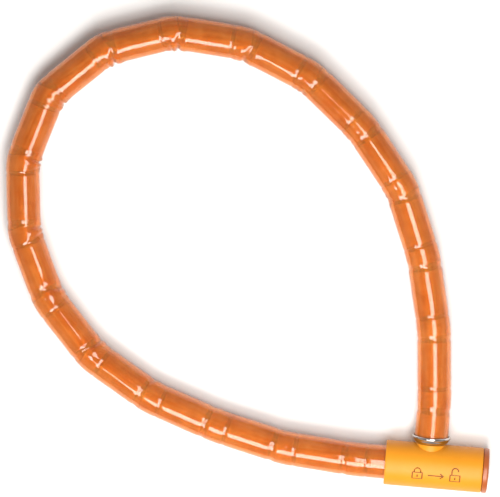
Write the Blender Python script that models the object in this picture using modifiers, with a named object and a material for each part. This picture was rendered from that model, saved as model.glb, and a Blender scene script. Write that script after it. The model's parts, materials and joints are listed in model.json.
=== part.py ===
"""Armoured cable lock, closed into its loop and lying flat, with its latch drawn back.

The lock head lies along X. A jointed steel armour leaves the head's left end, runs round in one
loop of equal links and comes back to the head's side as a ferrule with a grooved bolt pin.
Metres, +Z up. The floor is Z = 0 and the origin is the middle of the footprint.
"""

import math

import bmesh
import bpy
from mathutils import Matrix, Vector

MM = 0.001
GAP = 0.3 * MM

# Armoured cable: a sleeve over equal steel shells over a wire-rope core.
SLEEVE_RADIUS = 12.5 * MM
SLEEVE_BORE = 10.1 * MM
SHELL_RADIUS = 9.8 * MM
SHELL_BORE = 4.8 * MM
NECK_RADIUS = 4.6 * MM
NECK_BORE = 3.4 * MM
CORE_RADIUS = 2.9 * MM
LINK = 53.0 * MM

# How far each joint is bent as the loop lies closed, in degrees, from the head to the ferrule.
BENDS = (4, 9, 6, 12, 17, 18, 19, 23, 29, 25, 23, 18, 17, 12, 16, 9, 8, 5)
# The closed loop is opened at one joint, halfway round. Before it the shells hang from the head,
# after it from the plug, two to a moving group, and the groups turn about every other joint.
LAST_HEAD_LINK = 9
# Links at each end that slope between the head's axis and the level stretch. The level stretch
# hangs a hair off the floor, because the sloping sleeves' lower corners reach below their axis.
SLOPED_LINKS = 2
SLEEVE_LIFT = 0.14 * MM

# Lock head. X is counted from the bolt pin's axis, along the head.
HEAD_RADIUS = 16.5 * MM
HEAD_LEFT = -32.5 * MM
COVER_RIGHT = 39.2 * MM
HEAD_RIGHT = 43.5 * MM
COVER_BORE = 13.9 * MM
BODY_RADIUS = 13.6 * MM
BODY_LEFT = -29.8 * MM
BODY_RIGHT = 33.0 * MM
CHAMBER_LEFT = 12.9 * MM

# Bolt pin, its bore and the ferrule. Y is counted from the head's axis.
PIN_RADIUS = 6.3 * MM
PIN_BORE = 7.1 * MM
PIN_TIP = -8.0 * MM
PIN_TOP = 25.5 * MM
BORE_END = -9.5 * MM
NECK_FACE = 16.9 * MM
NECK_BOSS_RADIUS = 10.8 * MM
FERRULE_BOTTOM = 17.3 * MM
FERRULE_TOP = 22.8 * MM
FERRULE_FLOOR = 20.7 * MM
FERRULE_RADIUS = 14.2 * MM

# Latch plate: it slides down by LATCH_TRAVEL as the crank turns from +45 to -45 degrees.
LATCH_Y = (0.6 * MM, 3.6 * MM)
LATCH_SLOT_Y = (0.2 * MM, 4.0 * MM)
CRANK_RADIUS = 2.5 * MM
CRANK_PEG_RADIUS = 1.1 * MM
CRANK_START = math.radians(45)
LATCH_TRAVEL = 2 * CRANK_RADIUS * math.sin(CRANK_START)
GROOVE_RADIUS = 3.6 * MM

# Disc lock cylinder.
HOUSING_RADIUS = 8.3 * MM
ROTOR_RADIUS = 6.0 * MM
ROTOR_BORE = 5.0 * MM
DISC_RADIUS = 4.75 * MM
DISC_THICKNESS = 2.0 * MM
DISC_PITCH = 3.0 * MM
DISC_COUNT = 6
FIRST_DISC = 18.2 * MM
KEY_SLOT = (2.6 * MM, 7.2 * MM)

SHELL_SIDES = 12
SLEEVE_SIDES = 16
HEAD_SIDES = 32
BORE_SIDES = 24
SMALL_SIDES = 12

HEAD_AXIS = Vector((0, 0, HEAD_RADIUS))
ALONG_X = Matrix.Rotation(math.radians(90), 4, "Y")
ALONG_Y = Matrix.Rotation(math.radians(-90), 4, "X")


# ---------------------------------------------------------------- scene and materials


def clear_scene():
    for thing in list(bpy.data.objects):
        bpy.data.objects.remove(thing, do_unlink=True)


def new_collection(name):
    collection = bpy.data.collections.new(name)
    bpy.context.scene.collection.children.link(collection)
    return collection


def new_material(name, colour, roughness, metallic=0.0):
    material = bpy.data.materials.new(name)
    material.use_nodes = True
    shader = material.node_tree.nodes["Principled BSDF"]
    shader.inputs["Base Color"].default_value = (*colour, 1.0)
    shader.inputs["Roughness"].default_value = roughness
    shader.inputs["Metallic"].default_value = metallic
    return material


def make_materials():
    return {
        "sleeve": new_material("sleeve_orange", (0.75, 0.22, 0.05), 0.15),
        "shell": new_material("shell_steel", (0.55, 0.53, 0.5), 0.3, 1.0),
        "rope": new_material("rope_steel", (0.4, 0.4, 0.4), 0.45, 1.0),
        "cover": new_material("cover_yellow", (0.9, 0.42, 0.05), 0.5),
        "cap": new_material("cap_orange", (0.6, 0.17, 0.05), 0.4),
        "chrome": new_material("ferrule_chrome", (0.75, 0.73, 0.7), 0.12, 1.0),
        "hard_steel": new_material("hard_steel", (0.5, 0.5, 0.52), 0.35, 1.0),
        "brass": new_material("brass", (0.7, 0.5, 0.2), 0.35, 1.0),
    }


# ---------------------------------------------------------------- shape helpers


def add_object(name, mesh, collection, material=None):
    thing = bpy.data.objects.new(name, mesh)
    collection.objects.link(thing)
    if material:
        mesh.materials.append(material)
    return thing


def turned_mesh(name, outline, closed):
    """A profile in the XZ plane: (height, radius) pairs from the top down the outer side."""
    mesh = bpy.data.meshes.new(name)
    shape = bmesh.new()
    corners = [shape.verts.new((radius, 0, height)) for height, radius in outline]
    for first, second in zip(corners, corners[1:]):
        shape.edges.new((first, second))
    if closed:
        shape.edges.new((corners[-1], corners[0]))
    shape.to_mesh(mesh)
    shape.free()
    return mesh


def add_turned(name, outline, sides, collection, material=None):
    """Turns an outline round Z. An outline with both ends on the axis is solid, others are rings."""
    solid = outline[0][1] == 0 and outline[-1][1] == 0
    thing = add_object(name, turned_mesh(name, outline, not solid), collection, material)
    screw = thing.modifiers.new("turn", "SCREW")
    screw.axis = "Z"
    screw.angle = math.tau
    screw.steps = sides
    screw.render_steps = sides
    screw.use_merge_vertices = True
    screw.merge_threshold = 0.00001
    screw.use_smooth_shade = True
    return thing


def add_rod(name, low, high, radius, sides, collection, material=None):
    outline = ((high, 0), (high, radius), (low, radius), (low, 0))
    return add_turned(name, outline, sides, collection, material)


def add_block(name, low, high, collection, material=None):
    """A box between two corners."""
    low, high = Vector(low), Vector(high)
    mesh = bpy.data.meshes.new(name)
    shape = bmesh.new()
    bmesh.ops.create_cube(shape, size=1.0)
    bmesh.ops.scale(shape, vec=high - low, verts=shape.verts)
    bmesh.ops.translate(shape, vec=(low + high) / 2, verts=shape.verts)
    shape.to_mesh(mesh)
    shape.free()
    return add_object(name, mesh, collection, material)


def boolean(target, tool, operation):
    modifier = target.modifiers.new(tool.name, "BOOLEAN")
    modifier.operation = operation
    modifier.solver = "EXACT"
    modifier.object = tool
    tool.hide_render = True
    tool.display_type = "WIRE"


def place(thing, matrix, parent=None):
    """Puts an object at a world matrix, under an optional parent that is already placed."""
    if parent:
        thing.parent = parent
        rows = [parent["world"][row * 4 : row * 4 + 4] for row in range(4)]
        thing.matrix_basis = Matrix(rows).inverted() @ Matrix(matrix)
    else:
        thing.matrix_basis = Matrix(matrix)
    return thing


def add_empty(name, matrix, collection, parent=None):
    """A frame that parts hang from. It keeps its own world matrix for its children."""
    frame = bpy.data.objects.new(name, None)
    frame.empty_display_size = 10 * MM
    collection.objects.link(frame)
    place(frame, matrix, parent)
    frame["world"] = [value for row in Matrix(matrix) for value in row]
    return frame


# ---------------------------------------------------------------- the loop's route


def link_slope(index):
    """How steeply a link falls, in radians: down from the head's axis, level, then up again."""
    drop = (HEAD_RADIUS - SLEEVE_RADIUS - SLEEVE_LIFT) / SLOPED_LINKS
    if index < SLOPED_LINKS:
        return -math.asin(drop / LINK)
    if index >= len(BENDS) - 1 - SLOPED_LINKS:
        return math.asin(drop / LINK)
    return 0.0


def link_directions():
    """The direction of each full link, from the head round to the ferrule, clockwise from above."""
    heading = math.pi
    directions = []
    for index, bend in enumerate(BENDS[:-1]):
        heading -= math.radians(bend)
        slope = link_slope(index)
        level = math.cos(slope)
        directions.append(
            Vector((math.cos(heading) * level, math.sin(heading) * level, math.sin(slope)))
        )
    return directions


def joint_points():
    """The joints' centres. The head's straight stretch closes the loop to the pin's axis at X = 0."""
    directions = link_directions()
    across = LINK * sum(direction.x for direction in directions)
    points = [Vector((-across, 0, HEAD_RADIUS))]
    for direction in directions:
        points.append(points[-1] + direction * LINK)
    return points


def link_matrix(point, direction):
    """A frame at a joint: Z along the link, X as near upright as it can be."""
    side = Vector((0, 0, 1)).cross(direction).normalized()
    upright = direction.cross(side)
    turn = Matrix((upright, side, direction)).transposed()
    return Matrix.Translation(point) @ turn.to_4x4()


# ---------------------------------------------------------------- armour


def nose_outline():
    """The ball nose and neck at a shell's head end, from the barrel's front face round to its bore."""
    return (
        (9.8 * MM, SHELL_RADIUS),
        (12.9 * MM, NECK_RADIUS),
        (5.5 * MM, NECK_RADIUS),
        (1.0 * MM, 7.1 * MM),
        (-3.0 * MM, 6.1 * MM),
        (-3.0 * MM, 5.5 * MM),
        (1.0 * MM, NECK_BORE),
        (12.5 * MM, NECK_BORE),
        (14.0 * MM, SHELL_BORE),
    )


def bell_outline(length):
    """The cup and belled rim round the next joint, with the groove behind the rim."""
    return (
        (length - 6.3 * MM, SHELL_BORE),
        (length - 2.0 * MM, 7.65 * MM),
        (length + 2.0 * MM, 7.65 * MM),
        (length + 4.6 * MM, 8.9 * MM),
        (length + 4.6 * MM, SHELL_RADIUS),
        (length - 7.6 * MM, SHELL_RADIUS),
        (length - 7.9 * MM, 9.0 * MM),
        (length - 9.9 * MM, 9.0 * MM),
        (length - 10.2 * MM, SHELL_RADIUS),
    )


def add_shell(name, collection, material):
    outline = bell_outline(LINK) + nose_outline()
    return add_turned(name, outline, SHELL_SIDES, collection, material)


def sleeve_nose():
    """A sleeve's hollow end, which turns round the next sleeve's rounded end."""
    return (
        (5.4 * MM, SLEEVE_RADIUS),
        (7.5 * MM, 11.4 * MM),
        (9.2 * MM, SLEEVE_BORE),
    )


def sleeve_bell(length):
    """A sleeve's rounded end, on a sphere of 13 mm round the joint."""
    return (
        (length + 6.5 * MM, SLEEVE_BORE),
        (length + 6.5 * MM, 11.25 * MM),
        (length + 5.1 * MM, 11.95 * MM),
        (length + 3.5 * MM, SLEEVE_RADIUS),
    )


def add_sleeve(name, collection, material):
    outline = sleeve_bell(LINK) + sleeve_nose()
    return add_turned(name, outline, SLEEVE_SIDES, collection, material)


def add_core(name, route, collection, material):
    """The wire rope that holds the shells together, as one tube through every joint."""
    curve = bpy.data.curves.new(name, "CURVE")
    curve.dimensions = "3D"
    curve.bevel_depth = CORE_RADIUS
    curve.bevel_resolution = 1
    curve.use_fill_caps = True
    line = curve.splines.new("POLY")
    line.points.add(len(route) - 1)
    for point, place_at in zip(line.points, route):
        point.co = (*place_at, 1.0)
    core = bpy.data.objects.new(name, curve)
    collection.objects.link(core)
    curve.materials.append(material)
    return core


# ---------------------------------------------------------------- lock head, fixed pieces


def add_head_cover(parts, cutters, material):
    """The soft-touch casing: a tube with a lip round the cable and a round boss round the pin."""
    edge = 1.0 * MM
    outline = (
        (COVER_RIGHT, HEAD_RADIUS),
        (HEAD_LEFT + edge, HEAD_RADIUS),
        (HEAD_LEFT + 0.3 * edge, HEAD_RADIUS - 0.3 * edge),
        (HEAD_LEFT, HEAD_RADIUS - edge),
        (HEAD_LEFT, SLEEVE_RADIUS + GAP),
        (BODY_LEFT - GAP, SLEEVE_RADIUS + GAP),
        (BODY_LEFT - GAP, COVER_BORE),
        (COVER_RIGHT, COVER_BORE),
    )
    cover = add_turned("head_cover", outline, HEAD_SIDES, parts, material)
    place(cover, Matrix.Translation(HEAD_AXIS) @ ALONG_X)
    boss = add_rod("boss_shape", 9 * MM, NECK_FACE, NECK_BOSS_RADIUS, HEAD_SIDES, cutters)
    place(boss, Matrix.Translation(HEAD_AXIS) @ ALONG_Y)
    boolean(cover, boss, "UNION")
    room = add_rod(
        "cover_room", BODY_LEFT - GAP, COVER_RIGHT + 5 * MM, COVER_BORE, HEAD_SIDES, cutters
    )
    place(room, Matrix.Translation(HEAD_AXIS) @ ALONG_X)
    boolean(cover, room, "DIFFERENCE")
    hole = add_rod("neck_hole", 5 * MM, 20 * MM, PIN_BORE, BORE_SIDES, cutters)
    place(hole, Matrix.Translation(HEAD_AXIS) @ ALONG_Y)
    boolean(cover, hole, "DIFFERENCE")
    return cover


def add_end_cap(parts, material):
    """The cap on the key end, with a spigot inside the cover and the key's hole."""
    edge = 0.8 * MM
    key_hole = 6.3 * MM
    spigot_left = BODY_RIGHT + GAP
    outline = (
        (HEAD_RIGHT, HEAD_RADIUS - edge),
        (HEAD_RIGHT - edge, HEAD_RADIUS),
        (COVER_RIGHT + GAP, HEAD_RADIUS),
        (COVER_RIGHT + GAP, COVER_BORE - GAP),
        (spigot_left, COVER_BORE - GAP),
        (spigot_left, 8.8 * MM),
        (37.7 * MM, 8.8 * MM),
        (37.7 * MM, key_hole),
        (HEAD_RIGHT, key_hole),
    )
    cap = add_turned("end_cap", outline, HEAD_SIDES, parts, material)
    return place(cap, Matrix.Translation(HEAD_AXIS) @ ALONG_X)


def add_lock_body(parts, cutters, material):
    """The hardened bar inside the cover, bored for the cable's end, the pin and the cylinder."""
    body = add_rod("lock_body", BODY_LEFT, BODY_RIGHT, BODY_RADIUS, HEAD_SIDES, parts, material)
    place(body, Matrix.Translation(HEAD_AXIS) @ ALONG_X)
    chamber = add_rod("chamber", CHAMBER_LEFT, 40 * MM, 8.6 * MM, BORE_SIDES, cutters)
    place(chamber, Matrix.Translation(HEAD_AXIS) @ ALONG_X)
    anchor = add_rod("anchor_bore", -40 * MM, -13 * MM, 7 * MM, BORE_SIDES, cutters)
    place(anchor, Matrix.Translation(HEAD_AXIS) @ ALONG_X)
    pin_bore = add_rod("pin_bore", BORE_END, 20 * MM, PIN_BORE, BORE_SIDES, cutters)
    place(pin_bore, Matrix.Translation(HEAD_AXIS) @ ALONG_Y)
    slot = add_block(
        "latch_slot",
        (-9.8 * MM, LATCH_SLOT_Y[0], -15 * MM),
        (CHAMBER_LEFT + 0.2 * MM, LATCH_SLOT_Y[1], 15 * MM),
        cutters,
    )
    place(slot, Matrix.Translation(HEAD_AXIS))
    anchor_hole = add_rod("anchor_pin_hole", -20 * MM, 20 * MM, 2.25 * MM, SMALL_SIDES, cutters)
    place(anchor_hole, Matrix.Translation(HEAD_AXIS + Vector((-21.5 * MM, 7.2 * MM, 0))))
    cylinder_hole = add_rod("cylinder_pin_hole", -20 * MM, 20 * MM, 1.5 * MM, SMALL_SIDES, cutters)
    place(cylinder_hole, Matrix.Translation(HEAD_AXIS + Vector((29 * MM, -8.7 * MM, 0))))
    for tool in (chamber, anchor, pin_bore, slot, anchor_hole, cylinder_hole):
        boolean(body, tool, "DIFFERENCE")
    return body


def add_cable_anchor(parts, material):
    """The crimped end fitting on the rope, with a waist for the cross pin."""
    outline = (
        (-13.6 * MM, 6.6 * MM),
        (-18.8 * MM, 6.6 * MM),
        (-18.8 * MM, 5.0 * MM),
        (-24.2 * MM, 5.0 * MM),
        (-24.2 * MM, 6.6 * MM),
        (BODY_LEFT + GAP, 6.6 * MM),
        (BODY_LEFT + GAP, CORE_RADIUS + GAP),
        (-13.6 * MM, CORE_RADIUS + GAP),
    )
    anchor = add_turned("cable_anchor", outline, SLEEVE_SIDES, parts, material)
    return place(anchor, Matrix.Translation(HEAD_AXIS) @ ALONG_X)


def add_cross_pin(name, x, y, radius, parts, material):
    """A short pin pressed across the lock body, clear of the cover at both ends."""
    half = math.sqrt(BODY_RADIUS**2 - (abs(y) + radius) ** 2) - GAP
    pin = add_rod(name, -half, half, radius, SMALL_SIDES, parts, material)
    return place(pin, Matrix.Translation(HEAD_AXIS + Vector((x, y, 0))))


def add_housing(parts, cutters, material):
    """The cylinder's fixed tube, waisted for its retaining pin, with a groove for the side bar."""
    outline = (
        (37.2 * MM, HOUSING_RADIUS),
        (31 * MM, HOUSING_RADIUS),
        (31 * MM, 7.2 * MM),
        (27 * MM, 7.2 * MM),
        (27 * MM, HOUSING_RADIUS),
        (15 * MM, HOUSING_RADIUS),
        (15 * MM, ROTOR_RADIUS + 0.2 * MM),
        (37.2 * MM, ROTOR_RADIUS + 0.2 * MM),
    )
    housing = add_turned("cylinder_housing", outline, BORE_SIDES, parts, material)
    place(housing, Matrix.Translation(HEAD_AXIS) @ ALONG_X)
    groove = add_block(
        "side_bar_groove",
        (16.8 * MM, 5 * MM, -1 * MM),
        (34.6 * MM, 6.9 * MM, 1 * MM),
        cutters,
    )
    place(groove, Matrix.Translation(HEAD_AXIS))
    boolean(housing, groove, "DIFFERENCE")
    return housing


# ---------------------------------------------------------------- lock head, moving pieces


def key_slot_cutter(name, low, high, cutters):
    """A bar as wide as the key's blade, along X between two places."""
    half_width, half_height = KEY_SLOT[0] / 2, KEY_SLOT[1] / 2
    slot = add_block(name, (low, -half_width, -half_height), (high, half_width, half_height), cutters)
    return place(slot, Matrix.Translation(HEAD_AXIS))


def add_rotor(parts, cutters, frame, material):
    """The barrel that the key turns: a cage for the discs, slotted for the key and the side bar."""
    outline = (
        (36.9 * MM, 0),
        (36.9 * MM, ROTOR_RADIUS),
        (14.7 * MM, ROTOR_RADIUS),
        (14.7 * MM, 0),
    )
    rotor = add_turned("rotor", outline, BORE_SIDES, parts, material)
    place(rotor, Matrix.Translation(HEAD_AXIS) @ ALONG_X, frame)
    cage = add_rod("rotor_cage", 16.2 * MM, 35 * MM, ROTOR_BORE, BORE_SIDES, cutters)
    place(cage, Matrix.Translation(HEAD_AXIS) @ ALONG_X)
    boolean(rotor, cage, "DIFFERENCE")
    boolean(rotor, key_slot_cutter("rotor_key_slot", 30 * MM, 40 * MM, cutters), "DIFFERENCE")
    opening = add_block("side_bar_slot", (17 * MM, -1 * MM, 3 * MM), (34.4 * MM, 1 * MM, 8 * MM), cutters)
    place(opening, Matrix.Translation(HEAD_AXIS))
    boolean(rotor, opening, "DIFFERENCE")
    return rotor


def add_disc(index, parts, cutters, frame, material):
    """A lock disc with the key's slot and the gate that the side bar drops into."""
    centre = FIRST_DISC + index * DISC_PITCH
    low, high = centre - DISC_THICKNESS / 2, centre + DISC_THICKNESS / 2
    name = f"lock_disc_{index + 1}"
    disc = add_rod(name, low, high, DISC_RADIUS, BORE_SIDES, parts, material)
    place(disc, Matrix.Translation(HEAD_AXIS) @ ALONG_X, frame)
    boolean(disc, key_slot_cutter(name + "_slot", low - MM, high + MM, cutters), "DIFFERENCE")
    gate = add_block(
        name + "_gate",
        (low - MM, -0.95 * MM, 3.8 * MM),
        (high + MM, 0.95 * MM, 6 * MM),
        cutters,
    )
    place(gate, Matrix.Translation(HEAD_AXIS))
    boolean(disc, gate, "DIFFERENCE")
    return disc


def add_side_bar(parts, frame, material):
    """The bar that lies in the discs' gates, so that the rotor is free to turn."""
    bar = add_block(
        "side_bar",
        (17.3 * MM, -0.7 * MM, 4.1 * MM),
        (34.1 * MM, 0.7 * MM, 5.8 * MM),
        parts,
        material,
    )
    return place(bar, Matrix.Translation(HEAD_AXIS), frame)


def add_drive_crank(parts, cutters, frame, material):
    """The plate on the rotor's tail, with the peg that moves the latch."""
    crank = add_rod("drive_crank", 13.3 * MM, 14.4 * MM, 5.4 * MM, BORE_SIDES, parts, material)
    place(crank, Matrix.Translation(HEAD_AXIS) @ ALONG_X, frame)
    across = CRANK_RADIUS * math.cos(CRANK_START)
    above = CRANK_RADIUS * math.sin(CRANK_START)
    peg = add_rod("crank_peg", 10.6 * MM, 13.8 * MM, CRANK_PEG_RADIUS, SMALL_SIDES, cutters)
    place(peg, Matrix.Translation(HEAD_AXIS + Vector((0, across, above))) @ ALONG_X)
    boolean(crank, peg, "UNION")
    return crank


def add_latch(parts, cutters, frame, material):
    """The latch plate, with a keyhole opening: wide lets the pin pass, narrow holds its groove."""
    plate = add_block(
        "latch_plate",
        (-9.3 * MM, LATCH_Y[0], -9.3 * MM),
        (12.7 * MM, LATCH_Y[1], 9.3 * MM),
        parts,
        material,
    )
    place(plate, Matrix.Translation(HEAD_AXIS), frame)
    wide = add_rod("latch_wide", -2 * MM, 8 * MM, PIN_BORE, BORE_SIDES, cutters)
    place(wide, Matrix.Translation(HEAD_AXIS) @ ALONG_Y)
    narrow = add_rod("latch_narrow", -2 * MM, 8 * MM, GROOVE_RADIUS + 0.5 * MM, BORE_SIDES, cutters)
    place(narrow, Matrix.Translation(HEAD_AXIS + Vector((0, 0, LATCH_TRAVEL))) @ ALONG_Y)
    peg_height = CRANK_RADIUS * math.sin(CRANK_START)
    half_slot = CRANK_PEG_RADIUS + 0.4 * MM
    notch = add_block(
        "latch_notch",
        (10.2 * MM, -2 * MM, peg_height - half_slot),
        (16 * MM, 8 * MM, peg_height + half_slot),
        cutters,
    )
    place(notch, Matrix.Translation(HEAD_AXIS))
    for tool in (wide, narrow, notch):
        boolean(plate, tool, "DIFFERENCE")
    return plate


# ---------------------------------------------------------------- plug end of the cable


def add_bolt_pin(parts, frame, material):
    """The grooved pin that enters the head, with a socket for the rope in its upper end."""
    socket = CORE_RADIUS + GAP
    outline = (
        (12 * MM, 0),
        (12 * MM, socket),
        (PIN_TOP, socket),
        (PIN_TOP, PIN_RADIUS),
        (LATCH_SLOT_Y[1], PIN_RADIUS),
        (LATCH_SLOT_Y[1], GROOVE_RADIUS),
        (LATCH_SLOT_Y[0], GROOVE_RADIUS),
        (LATCH_SLOT_Y[0], PIN_RADIUS),
        (PIN_TIP + 2 * MM, PIN_RADIUS),
        (PIN_TIP, PIN_RADIUS - 2 * MM),
        (PIN_TIP, 0),
    )
    pin = add_turned("bolt_pin", outline, BORE_SIDES, parts, material)
    return place(pin, Matrix.Translation(HEAD_AXIS) @ ALONG_Y, frame)


def add_ferrule(parts, frame, material):
    """The bright cup on the sleeve's end: a rolled lip that tapers in towards the head."""
    outline = (
        (FERRULE_TOP, FERRULE_RADIUS - 0.7 * MM),
        (FERRULE_TOP - 0.5 * MM, FERRULE_RADIUS),
        (FERRULE_TOP - 1.7 * MM, FERRULE_RADIUS),
        (FERRULE_TOP - 3.2 * MM, 13.2 * MM),
        (FERRULE_BOTTOM + 0.8 * MM, 11.8 * MM),
        (FERRULE_BOTTOM, 11.0 * MM),
        (FERRULE_BOTTOM, PIN_RADIUS + GAP),
        (FERRULE_FLOOR, PIN_RADIUS + GAP),
        (FERRULE_FLOOR, SLEEVE_RADIUS + GAP),
        (FERRULE_TOP, SLEEVE_RADIUS + GAP),
    )
    ferrule = add_turned("ferrule", outline, HEAD_SIDES, parts, material)
    return place(ferrule, Matrix.Translation(HEAD_AXIS) @ ALONG_Y, frame)


def add_plug_shell(reach, parts, material):
    """The last, straight shell: a ball nose at its joint and a socket over the bolt pin."""
    end = reach - (FERRULE_FLOOR + GAP)
    pin_top = reach - (PIN_TOP + GAP)
    outline = (
        (end, SHELL_RADIUS),
        *nose_outline(),
        (pin_top, SHELL_BORE),
        (pin_top, PIN_RADIUS + GAP),
        (end, PIN_RADIUS + GAP),
    )
    return add_turned("plug_shell", outline, SHELL_SIDES, parts, material)


def add_plug_sleeve(reach, parts, material):
    """The last stretch of sleeve, into the ferrule's cup."""
    end = reach - (FERRULE_FLOOR + GAP)
    outline = ((end, SLEEVE_RADIUS), *sleeve_nose(), (end, SLEEVE_BORE))
    return add_turned("plug_sleeve", outline, SLEEVE_SIDES, parts, material)


def add_anchor_shell(length, parts, material):
    """The first, straight shell, fixed in the head, with its bell round the first joint."""
    outline = (*bell_outline(length), (0, SHELL_RADIUS), (0, SHELL_BORE))
    return add_turned("anchor_shell", outline, SHELL_SIDES, parts, material)


def add_anchor_sleeve(length, parts, material):
    """The first stretch of sleeve, held in the cover's lip."""
    outline = (*sleeve_bell(length), (0, SLEEVE_RADIUS), (0, SLEEVE_BORE))
    return add_turned("anchor_sleeve", outline, SLEEVE_SIDES, parts, material)


# ---------------------------------------------------------------- assembly


def joint_that_moves(number):
    """The joint that a link turns about: an odd one behind it, or on the plug's side an even one ahead."""
    if number <= LAST_HEAD_LINK:
        return number - (number - 1) % 2
    return number + 1 + (number + 1) % 2


def add_group_frames(points, directions, frames, root, plug):
    """One frame for each moving group of links, on its joint's axis. Both chains start at the head."""
    last_joint = len(points)
    groups = {}
    above = root
    for number in range(1, LAST_HEAD_LINK + 1, 2):
        frame = link_matrix(points[number - 1], directions[number - 1])
        above = add_empty(f"joint_{number:02d}", frame, frames, above)
        groups[number] = above
    above = plug
    for number in range(last_joint, LAST_HEAD_LINK + 2, -2):
        frame = link_matrix(points[number - 1], directions[number - 2])
        above = add_empty(f"joint_{number:02d}", frame, frames, above)
        groups[number] = above
    return groups


def build_cable(parts, frames, root, materials):
    """The armour from the head round to the ferrule. Returns the plug end's frame."""
    points = joint_points()
    directions = link_directions()
    start = Vector((BODY_LEFT - GAP, 0, HEAD_RADIUS))
    first_length = (points[0] - start).length
    head_frame = link_matrix(start, Vector((-1, 0, 0)))
    place(add_anchor_shell(first_length, parts, materials["shell"]), head_frame, root)
    place(add_anchor_sleeve(first_length, parts, materials["sleeve"]), head_frame, root)
    plug = add_empty("plug_pull", Matrix.Translation(HEAD_AXIS) @ ALONG_Y, frames, root)
    groups = add_group_frames(points, directions, frames, root, plug)
    for number, (point, direction) in enumerate(zip(points, directions), 1):
        frame = link_matrix(point, direction)
        group = groups[joint_that_moves(number)]
        place(add_shell(f"shell_{number:02d}", parts, materials["shell"]), frame, group)
        place(add_sleeve(f"sleeve_{number:02d}", parts, materials["sleeve"]), frame, group)
    last = points[-1]
    frame = link_matrix(last, Vector((0, -1, 0)))
    place(add_plug_shell(last.y, parts, materials["shell"]), frame, plug)
    place(add_plug_sleeve(last.y, parts, materials["sleeve"]), frame, plug)
    rope_start = Vector((-14 * MM, 0, HEAD_RADIUS))
    rope_end = Vector((0, 12.5 * MM, HEAD_RADIUS))
    core = add_core("core_cable", [rope_start, *points, rope_end], parts, materials["rope"])
    place(core, Matrix.Identity(4), root)
    return plug


def build_head(parts, cutters, frames, root, materials):
    """The lock head: its fixed pieces hang from the root, the rotor and latch from their frames."""
    fixed = (
        add_head_cover(parts, cutters, materials["cover"]),
        add_end_cap(parts, materials["cap"]),
        add_lock_body(parts, cutters, materials["hard_steel"]),
        add_cable_anchor(parts, materials["hard_steel"]),
        add_cross_pin("anchor_pin", -21.5 * MM, 7.2 * MM, 1.9 * MM, parts, materials["hard_steel"]),
        add_cross_pin("cylinder_pin", 29 * MM, -8.7 * MM, 1.2 * MM, parts, materials["hard_steel"]),
        add_housing(parts, cutters, materials["brass"]),
    )
    for piece in fixed:
        piece.parent = root
    key_frame = add_empty("key_axis", Matrix.Translation(HEAD_AXIS) @ ALONG_X, frames, root)
    add_rotor(parts, cutters, key_frame, materials["brass"])
    for index in range(DISC_COUNT):
        add_disc(index, parts, cutters, key_frame, materials["brass"])
    add_side_bar(parts, key_frame, materials["hard_steel"])
    add_drive_crank(parts, cutters, key_frame, materials["hard_steel"])
    latch_frame = add_empty("latch_slide", Matrix.Translation(HEAD_AXIS), frames, root)
    add_latch(parts, cutters, latch_frame, materials["hard_steel"])


def centre_footprint(parts, cutters, root):
    """Moves the whole lock so that the origin is under the middle of its outline."""
    bpy.context.view_layer.update()
    graph = bpy.context.evaluated_depsgraph_get()
    low, high = Vector((1, 1)), Vector((-1, -1))
    for thing in parts.objects:
        shown = thing.evaluated_get(graph)
        mesh = shown.to_mesh()
        for vertex in mesh.vertices:
            spot = shown.matrix_world @ vertex.co
            low = Vector((min(low.x, spot.x), min(low.y, spot.y)))
            high = Vector((max(high.x, spot.x), max(high.y, spot.y)))
        shown.to_mesh_clear()
    middle = (low + high) / 2
    root.location -= Vector((middle.x, middle.y, 0))
    for tool in cutters.objects:
        tool.location -= Vector((middle.x, middle.y, 0))


def build_lock():
    clear_scene()
    parts = new_collection("armoured_cable_lock")
    cutters = new_collection("cutters")
    frames = new_collection("joint_frames")
    materials = make_materials()
    root = add_empty("lock_head", Matrix.Identity(4), frames)
    build_head(parts, cutters, frames, root, materials)
    plug = build_cable(parts, frames, root, materials)
    add_bolt_pin(parts, plug, materials["hard_steel"])
    add_ferrule(parts, plug, materials["chrome"])
    centre_footprint(parts, cutters, root)


build_lock()
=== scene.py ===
"""Looks of the armoured cable lock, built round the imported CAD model.

Steel shells on a wire rope lie under a glossy, see-through orange sleeve. Both ends meet in a
round, soft-touch lock head. Metres, +Z up, in the CAD model's own frame.
"""

import json
import math
import random

import bmesh
import bpy
import numpy as np
from mathutils import Matrix, Vector

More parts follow.
